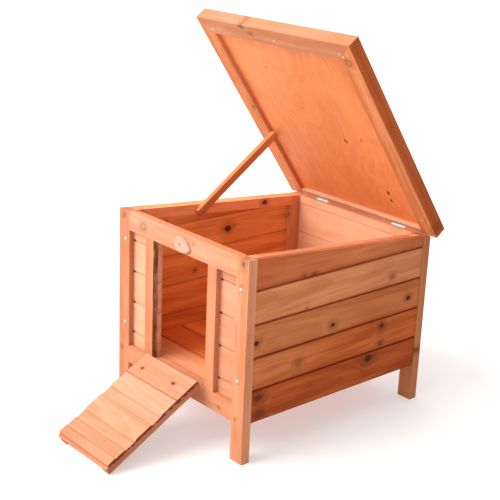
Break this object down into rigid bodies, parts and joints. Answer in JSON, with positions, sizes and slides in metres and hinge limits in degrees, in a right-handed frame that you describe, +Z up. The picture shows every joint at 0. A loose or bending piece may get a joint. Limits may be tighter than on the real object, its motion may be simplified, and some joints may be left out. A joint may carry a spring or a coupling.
{
  "type": "rabbit hutch",
  "caption": "Raised timber rabbit hutch with lapped board walls, a hinged lid held up by a prop stick, a turn button and a doorway closed by a drop-down ramp.",
  "frame": {"origin": "on the ground, below the middle of the hutch's outer box as it stands with the lid propped open and the ramp down", "axes": "+Z up, -Y out of the doorway and down the ramp, +X towards the right-hand wall as seen from the front"},
  "size_m": [0.488, 0.8317, 0.8897],
  "materials": {
    "fir_light": "smooth planed fir, light honey stain, satin",
    "fir_warm": "smooth planed fir, warm honey stain",
    "fir_red": "smooth planed fir, redder boards with knots",
    "plywood": "thin plywood sheet, warm stain",
    "zinc_steel": "zinc-plated steel",
    "roof_felt": "mineral-surfaced roofing felt, dark green-grey"
  },
  "bodies": {
    "cabin": {"post_front_left": "fir_light", "post_front_right": "fir_light", "post_back_left": "fir_light", "post_back_right": "fir_light", "header_rail": "fir_light", "sill_rail": "fir_light", "jamb_left": "fir_light", "jamb_right": "fir_light", "header_board": "fir_warm", "threshold_board": "fir_warm", "front_boards_left": "fir_light", "front_boards_right": "fir_light", "left_wall_board_1": "fir_warm", "left_wall_board_2": "fir_warm", "left_wall_board_3": "fir_warm", "left_wall_board_4": "fir_warm", "left_wall_board_5": "fir_warm", "right_wall_board_1": "fir_red", "right_wall_board_2": "fir_red", "right_wall_board_3": "fir_red", "right_wall_board_4": "fir_red", "right_wall_board_5": "fir_red", "back_boards": "fir_warm", "back_top_rail": "fir_warm", "back_bottom_rail": "fir_warm", "batten_front_left": "fir_warm", "batten_front_right": "fir_warm", "batten_back_left": "fir_warm", "batten_back_right": "fir_warm", "top_batten_left": "fir_warm", "top_batten_right": "fir_warm", "floor_bearer_left": "fir_warm", "floor_bearer_right": "fir_warm", "floor_boards": "fir_warm", "cabin_screws": "zinc_steel", "cabin_hinge_leaves": "zinc_steel", "hinge_pins": "zinc_steel", "prop_screw": "zinc_steel", "button_screw": "zinc_steel"},
    "lid": {"lid_rail_left": "fir_light", "lid_rail_right": "fir_light", "lid_rail_front": "fir_light", "lid_rail_hinge": "fir_warm", "lid_ceiling": "plywood", "roof_deck": "fir_warm", "roof_felt": "roof_felt", "lid_hinge_leaves": "zinc_steel", "lid_hinge_screws": "zinc_steel"},
    "prop": {"prop_stick": "fir_light"},
    "ramp": {"ramp_board_1": "fir_light", "ramp_board_2": "fir_light", "ramp_board_3": "fir_light", "ramp_board_4": "fir_light", "ramp_foot_strip": "fir_light", "ramp_stringer_left": "fir_red", "ramp_stringer_right": "fir_red", "ramp_ledge": "fir_red", "ramp_hinge_leaves": "zinc_steel", "ramp_hinge_screws": "zinc_steel"},
    "button": {"turn_button": "fir_light"}
  },
  "joints": [
    {"name": "lid_hinge", "type": "hinge", "parent": "cabin", "child": "lid", "pos_m": [0, 0.39186, 0.41038], "axis": [1, 0, 0], "range_deg": [0, 49.2]},
    {"name": "prop_fold", "type": "hinge", "parent": "cabin", "child": "prop", "pos_m": [-0.1865, 0.04283, 0.42722], "axis": [1, 0, 0], "range_deg": [-123, 0]},
    {"name": "ramp_hinge", "type": "hinge", "parent": "cabin", "child": "ramp", "pos_m": [0, -0.16637, 0.13], "axis": [1, 0, 0], "range_deg": [-119.16, 0]},
    {"name": "button_pivot", "type": "hinge", "parent": "cabin", "child": "button", "pos_m": [0.004, -0.16617, 0.4345], "axis": [0, 1, 0], "range_deg": [0, 80]}
  ],
  "couplings": [
    {"joint": "prop_fold", "follows": "lid_hinge", "ratio": -2.5}
  ]
}
